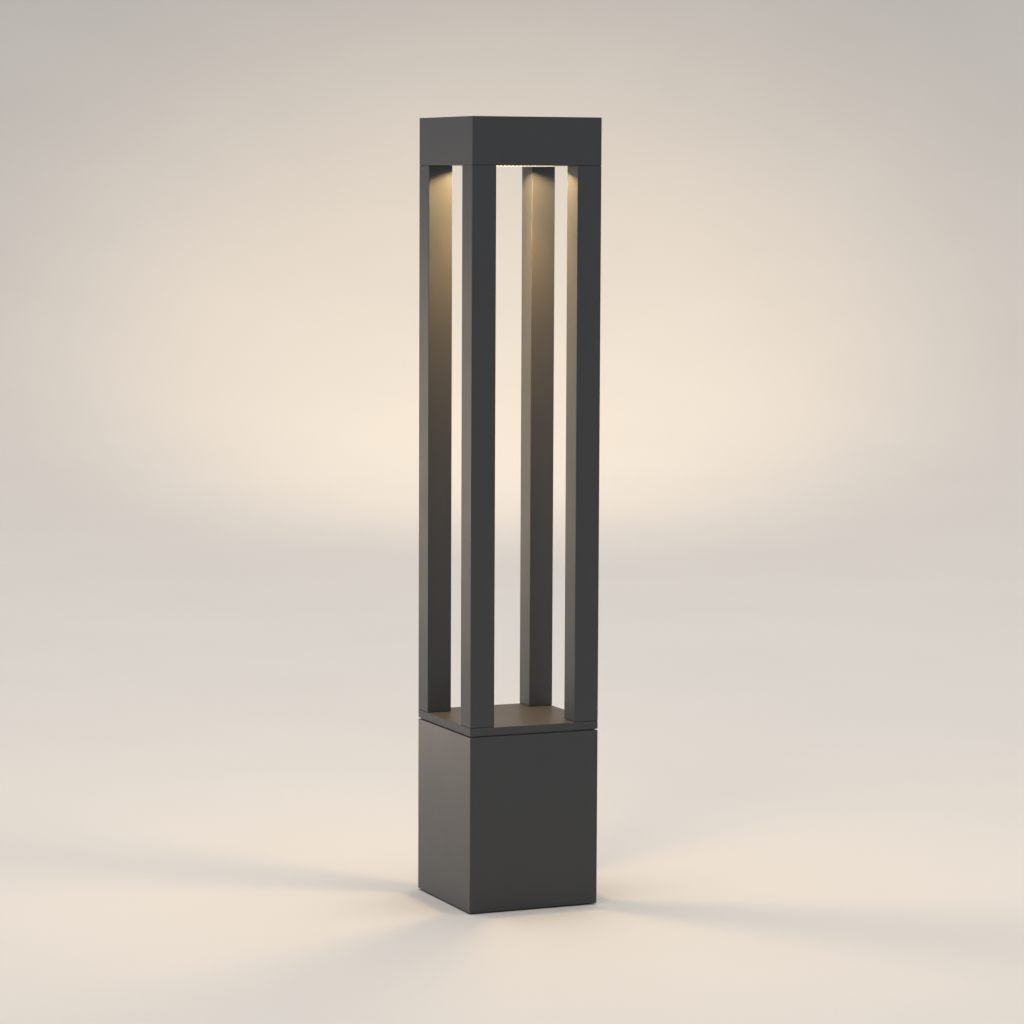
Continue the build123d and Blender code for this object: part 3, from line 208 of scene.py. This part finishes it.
def worked_metal(name, color, along, rough):
    """Metal with fine tool marks drawn out along one axis ("X", "Y" or "Z")."""
    finish = Finish(name)
    drawn = finish.stretched(*(0.03 if axis == along else 1.0 for axis in "XYZ"))
    marks = finish.noise(0.35 * MM, 3.0, drawn)
    cloud = finish.noise(12 * MM, 3.0)
    tone = finish.mix(finish.span(marks, 0.0, 1.0), shade(color, 0.86), shade(color, 1.08))
    tone = finish.mix(finish.span(cloud, 0.0, 0.3), tone, shade(color, 0.75))
    worn = finish.span(marks, rough - 0.06, rough + 0.06)
    roughness = finish.math("ADD", worn, finish.span(cloud, 0.0, 0.06))
    surface = finish.bump(marks, TOOL_MARK_DEPTH)
    finish.put(base_color=tone, roughness=roughness, metallic=1.0, normal=surface)
    return finish.material


def moulded(name, color, rough, grain, depth):
    """Moulded plastic or rubber: flow clouds and a fine grain, its size and depth in mm."""
    finish = Finish(name)
    fine = finish.noise(grain * MM, 2.0)
    cloud = finish.noise(18 * MM, 3.0)
    tone = finish.mix(finish.span(cloud, 0.0, 1.0), shade(color, 0.93), shade(color, 1.06))
    tone = finish.mix(finish.span(fine, 0.0, 0.12), tone, shade(color, 1.25))
    cloudy = finish.span(cloud, rough - 0.03, rough + 0.03)
    roughness = finish.math("ADD", cloudy, finish.span(fine, -0.03, 0.03))
    surface = finish.bump(fine, depth * MM)
    finish.put(base_color=tone, roughness=roughness, normal=surface)
    return finish.material


def from_axis(finish):
    """Distance from the lamp's axis, in metres."""
    flat = finish.node("VectorMath", {0: finish.place, 1: (1, 1, 0)}, operation="MULTIPLY")
    return finish.node("VectorMath", {0: flat.outputs["Vector"]}, operation="LENGTH").outputs["Value"]


def around_axis(finish):
    """Angle around the lamp's axis, in radians."""
    parts = finish.node("SeparateXYZ", {"Vector": finish.place}).outputs
    return finish.math("ARCTAN2", parts["Y"], parts["X"])


def ring_of_spots(finish, radius, angle, ring, count, reach):
    """Soft spots, from 0 to 1, evenly round a ring: the LEDs seen through the diffuser."""
    off = finish.math("ABSOLUTE", finish.math("SUBTRACT", radius, ring))
    across = finish.span(off, 1.0, 0.0, 0.0, reach)
    wave = finish.math("COSINE", finish.math("MULTIPLY", angle, count))
    return finish.math("MULTIPLY", across, finish.span(wave, 0.25, 1.0, -1.0, 1.0))


RIM_BEADS = 72
RIM_START, RIM_FULL = 0.86, 0.91  # where the beaded rim begins, as shares of the lens's radius
LED_RINGS = ((7 * MM, 4, 5 * MM), (17 * MM, 8, 6 * MM))  # ring radius, LEDs, each spot's reach


def opal(name):
    """The lit diffuser: warm, with the LEDs' soft spots in the middle and beads round its rim."""
    finish = Finish(name)
    radius = from_axis(finish)
    angle = around_axis(finish)
    low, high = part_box("lens")
    reach = (high.x - low.x) / 2
    glow = finish.span(radius, 1.05, 0.66, 0.1 * reach, 0.9 * reach)
    for ring, count, width in LED_RINGS:
        spots = ring_of_spots(finish, radius, angle, ring, count, width)
        glow = finish.math("ADD", glow, finish.math("MULTIPLY", spots, 0.5))
    prism = finish.cells(1.6 * MM, "Distance", feature="F1")
    sparkle = finish.math("MULTIPLY", glow, finish.span(prism, 0.94, 1.06, 0.1, 0.7))
    wave = finish.math("SINE", finish.math("MULTIPLY", angle, RIM_BEADS))
    beads = finish.span(wave, 0.05, 1.2, -0.1, 1.0)
    edge = finish.span(radius, 0.0, 1.0, RIM_START * reach, RIM_FULL * reach)
    finish.put(
        base_color=(0.80, 0.76, 0.68),
        roughness=finish.span(finish.noise(1.1 * MM, 2.0), 0.28, 0.36),
        normal=finish.bump(prism, 0.12 * MM),
        emission_color=(1.0, 0.80, 0.50),
        emission_strength=finish.blend(edge, sparkle, beads),
        ior=1.49,
    )
    return finish.material


def phosphor(name):
    """Lit LED packages: a yellow phosphor field in a white frame."""
    finish = Finish(name)
    fine = finish.noise(0.15 * MM, 2.0)
    finish.put(
        base_color=finish.mix(finish.span(fine, 0.0, 1.0), (0.92, 0.66, 0.18), (0.98, 0.80, 0.34)),
        roughness=finish.span(fine, 0.3, 0.4),
        emission_color=(1.0, 0.66, 0.34),
        emission_strength=finish.span(fine, 5.0, 7.0),
    )
    return finish.material


def circuit(name, mask, copper, pitch):
    """Solder mask over etched tracks, which show as slightly raised, lighter lines."""
    finish = Finish(name)
    tracks = finish.cells(pitch * MM, "Distance", feature="DISTANCE_TO_EDGE", distance="CHEBYCHEV")
    line = finish.span(tracks, 1.0, 0.0, 0.03, 0.07)
    weave = finish.noise(0.5 * MM, 1.0)
    tone = finish.mix(line, mask, copper)
    tone = finish.mix(finish.span(weave, 0.0, 0.15), tone, shade(mask, 0.7))
    finish.put(
        base_color=tone,
        roughness=finish.span(weave, 0.3, 0.4),
        normal=finish.bump(line, 0.03 * MM),
    )
    return finish.material


FINISHES = {
    "graphite_powder_coat": powder_coat,
    "galvanised_steel": galvanised,
    "stainless_fasteners": lambda name: worked_metal(name, (0.62, 0.61, 0.59), "Z", 0.3),
    "bare_aluminium": lambda name: worked_metal(name, (0.78, 0.79, 0.80), "X", 0.34),
    "zinc_plated_sheet": lambda name: worked_metal(name, (0.62, 0.64, 0.66), "Z", 0.38),
    "black_rubber": lambda name: moulded(name, (0.022, 0.022, 0.023), 0.72, 0.25, 0.012),
    "silicone_seal": lambda name: moulded(name, (0.42, 0.43, 0.44), 0.6, 0.3, 0.008),
    "opal_lens": opal,
    "reflector_white": lambda name: moulded(name, (0.86, 0.86, 0.84), 0.3, 0.4, 0.003),
    "board_white": lambda name: circuit(name, (0.82, 0.83, 0.82), (0.88, 0.86, 0.80), 9.0),
    "phosphor": phosphor,
    "connector_white": lambda name: moulded(name, (0.80, 0.79, 0.76), 0.45, 0.2, 0.004),
    "driver_white": lambda name: moulded(name, (0.74, 0.75, 0.75), 0.5, 0.5, 0.012),
    "circuit_green": lambda name: circuit(name, (0.012, 0.10, 0.035), (0.05, 0.22, 0.08), 6.0),
    "component_black": lambda name: moulded(name, (0.02, 0.02, 0.022), 0.4, 0.2, 0.005),
    "box_grey": lambda name: moulded(name, (0.30, 0.31, 0.32), 0.5, 0.6, 0.015),
    "gland_black": lambda name: moulded(name, (0.02, 0.02, 0.022), 0.42, 0.3, 0.006),
    "terminal_cream": lambda name: moulded(name, (0.70, 0.66, 0.54), 0.42, 0.2, 0.004),
    "brass_screws": lambda name: worked_metal(name, (0.72, 0.50, 0.20), "Y", 0.28),
    "lead_sheath": lambda name: moulded(name, (0.02, 0.02, 0.021), 0.55, 0.2, 0.006),
}

materials = {slot: make(slot) for slot, make in FINISHES.items()}
for part in frame["record"]["subparts"]:
    node = nodes[part["node"]]
    node.data.materials.clear()
    node.data.materials.append(materials[part["material_slot"]])

# ---- Studio floor and sweep -----------------------------------------------------------------

FLOOR_RADIUS = 3.4
SWEEP_RADIUS = 4.6
WALL_HEIGHT = 4.8
RING_STEPS = 96
FLOOR_STEPS = 10
SWEEP_STEPS = 24
PAPER_DARK = (0.745, 0.735, 0.725)
PAPER_PALE = (0.765, 0.755, 0.745)


def studio_profile():
    """Radius and height of the floor, the sweep and the wall, from the middle outwards."""
    points = [(0.0, 0.0)]
    for step in range(1, FLOOR_STEPS + 1):
        points.append((FLOOR_RADIUS * step / FLOOR_STEPS, 0.0))
    for step in range(1, SWEEP_STEPS + 1):
        angle = math.pi / 2 * step / SWEEP_STEPS
        height = SWEEP_RADIUS * (1 - math.cos(angle))
        points.append((FLOOR_RADIUS + SWEEP_RADIUS * math.sin(angle), height))
    points.append((FLOOR_RADIUS + SWEEP_RADIUS, WALL_HEIGHT))
    return points


def turned(name, profile, steps):
    """A surface of revolution about Z, with one shared point in the middle."""
    points = [(0.0, 0.0, profile[0][1])]
    for radius, height in profile[1:]:
        for step in range(steps):
            angle = 2 * math.pi * step / steps
            points.append((radius * math.cos(angle), radius * math.sin(angle), height))
    faces = [(0, 1 + step, 1 + (step + 1) % steps) for step in range(steps)]
    for ring in range(len(profile) - 2):
        start = 1 + ring * steps
        for step in range(steps):
            after = (step + 1) % steps
            faces.append((start + step, start + steps + step, start + steps + after, start + after))
    mesh = bpy.data.meshes.new(name)
    mesh.from_pydata(points, [], faces)
    for face in mesh.polygons:
        face.use_smooth = True
    made = bpy.data.objects.new(name, mesh)
    bpy.context.scene.collection.objects.link(made)
    return made


studio = turned("studio_floor", studio_profile(), RING_STEPS)
paper = Finish("studio_paper")
mottle = paper.span(paper.noise(0.4, 2.0), 0.0, 1.0)
paper.put(base_color=paper.mix(mottle, PAPER_DARK, PAPER_PALE), roughness=0.75)
studio.data.materials.append(paper.material)

# ---- The lamp -----------------------------------------------------------------------------

WARM = (1.0, 0.66, 0.29)
WARMER = (1.0, 0.55, 0.19)
nodes["lens"].visible_shadow = False
chips_low, chips_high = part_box("led_chips")
under_chips = (0.0, 0.0, chips_low.z - 0.3 * MM)


def falls_on(light, receivers):
    """Lets a light fall on these objects only."""
    group = bpy.data.collections.new(light.name + "_falls_on")
    for receiver in receivers:
        group.objects.link(receiver)
    light.light_linking.receiver_collection = group


def lamp_light(name, kind, power, color, receivers):
    """One part of the lamp's light, with what it falls on. It leaves the LED board downwards."""
    light = bpy.data.lights.new(name, kind)
    light.energy = power
    light.color = color
    made = bpy.data.objects.new(name, light)
    made.location = under_chips
    made.visible_camera = False
    bpy.context.scene.collection.objects.link(made)
    falls_on(made, receivers)
    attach(made, "luminaire")
    return light


# The flood gives the cut-off near the head, the beam reaches far down the posts, and the spill
# falls on the floor, where the studio's light drowns most of it.
lamp_width = chips_high.x - chips_low.x
flood = lamp_light("lamp_flood", "AREA", 2.35, WARM, nodes.values())
spill = lamp_light("lamp_spill", "AREA", 1.3, WARM, [studio])
for light in (flood, spill):
    light.shape = "DISK"
    light.size = lamp_width
shafts = [nodes[name] for name in nodes if name.startswith("post_") or name == "middle_plate"]
beam = lamp_light("lamp_beam", "SPOT", 18.0, WARMER, shafts)
beam.spot_size = math.radians(96)
beam.spot_blend = 1.0
beam.shadow_soft_size = 0.4 * lamp_width

# ---- Studio lights --------------------------------------------------------------------------

world = bpy.data.worlds.new("studio_air")
world.use_nodes = True
sky = world.node_tree.nodes["Background"]
sky.inputs["Color"].default_value = (0.90, 0.95, 1.0, 1.0)
sky.inputs["Strength"].default_value = 0.40
bpy.context.scene.world = world


def aimed(light, place, target):
    """Puts a studio light at a place, turned to a target. It shows in reflections, not to the camera."""
    made = bpy.data.objects.new(light.name, light)
    made.location = place
    made.rotation_euler = (Vector(target) - Vector(place)).to_track_quat("-Z", "Y").to_euler()
    made.visible_camera = False
    bpy.context.scene.collection.objects.link(made)
    return made


def softbox(name, place, target, size, power, color, spread=180):
    """A rectangular studio light."""
    light = bpy.data.lights.new(name, "AREA")
    light.shape = "RECTANGLE"
    light.size, light.size_y = size
    light.energy = power
    light.color = color
    light.spread = math.radians(spread)
    return aimed(light, place, target)


middle = (cad_low + cad_high) / 2
COOL = (0.76, 0.88, 1.0)
PALE_COOL = (0.82, 0.91, 1.0)
NEAR_WHITE = (0.95, 0.97, 1.0)
CREAM = (1.0, 0.92, 0.84)
SAND = (1.0, 0.80, 0.64)
PEACH = (1.0, 0.78, 0.56)
HONEY = (1.0, 0.78, 0.54)
AMBER = (1.0, 0.74, 0.42)

# Each softbox has its place, its target, its width and height, its power in watts and its colour.
softbox("top_light", (0.0, 0.0, 6.0), (0.0, 0.0, 0.0), (8.0, 8.0), 158, CREAM, 124)
softbox("back_light", (1.4, 3.3, 5.0), (1.9, 4.4, 0.0), (4.0, 3.0), 20, PEACH, 100)
# These light the object's faces, and leave the floor and the backdrop even.
face_lights = [
    softbox("side_light", (-2.6, 0.9, 1.5), middle, (1.6, 1.6), 20, COOL),
    softbox("edge_light", (-2.9, -1.25, 0.6), (0.0, 0.0, 0.5), (0.3, 1.3), 18, NEAR_WHITE),
    softbox("front_light", (1.5, -3.4, 0.9), middle, (2.0, 1.4), 3.8, PALE_COOL),
    softbox("low_glow", (-0.62, 1.25, 0.36), (0.0, 0.0, 0.26), (1.6, 0.50), 1.6, HONEY, 120),
]
for light in face_lights:
    falls_on(light, nodes.values())
# The base's left face mirrors a warm floor and wall, which this stands for.
base_glow = softbox("base_glow", (-0.5, 1.0, 0.14), (0.0, 0.0, 0.09), (1.3, 0.26), 1.0, SAND, 120)
falls_on(base_glow, [nodes["base_housing"]])
# The lamp's own warmth on the floor, and on the backdrop behind the posts.
floor_glow = softbox("floor_glow", (0.0, 0.2, 1.9), (0.0, 0.2, 0.0), (0.8, 0.8), 6.0, AMBER)
falls_on(floor_glow, [studio])

glow = bpy.data.lights.new("backdrop_glow", "SPOT")
glow.spot_size = math.radians(36)
glow.spot_blend = 1.0
glow.shadow_soft_size = 0.3
glow.energy = 380
glow.color = (1.0, 0.76, 0.46)
backdrop_glow = aimed(glow, (0.4, 1.0, 1.9), (2.0, 4.7, 0.32))
falls_on(backdrop_glow, [studio])

# ---- Camera ---------------------------------------------------------------------------------

AZIMUTH = math.radians(-23.325)
ELEVATION = math.radians(5.355)
ROLL = math.radians(0.252)
DISTANCE = 3.56
AIM = Vector((0.0024, -0.0046, 0.3975))
SENSOR_WIDTH = 36.0
FOCAL_LENGTH = 123.08
FAR_CLIP = 40.0

level_back = Vector((math.sin(AZIMUTH), -math.cos(AZIMUTH), 0.0))
back = math.cos(ELEVATION) * level_back + Vector((0.0, 0.0, math.sin(ELEVATION)))
level_right = Vector((math.cos(AZIMUTH), math.sin(AZIMUTH), 0.0))
level_up = back.cross(level_right)
right = math.cos(ROLL) * level_right + math.sin(ROLL) * level_up
up = -math.sin(ROLL) * level_right + math.cos(ROLL) * level_up
camera_data = bpy.data.cameras.new("camera")
camera_data.lens = FOCAL_LENGTH
camera_data.sensor_width = SENSOR_WIDTH
camera_data.clip_end = FAR_CLIP
camera = bpy.data.objects.new("camera", camera_data)
turn = Matrix((right, up, back)).transposed().to_4x4()
camera.matrix_world = Matrix.Translation(AIM + back * DISTANCE) @ turn
bpy.context.scene.collection.objects.link(camera)
bpy.context.scene.camera = camera

bpy.context.scene.view_settings.view_transform = "Standard"
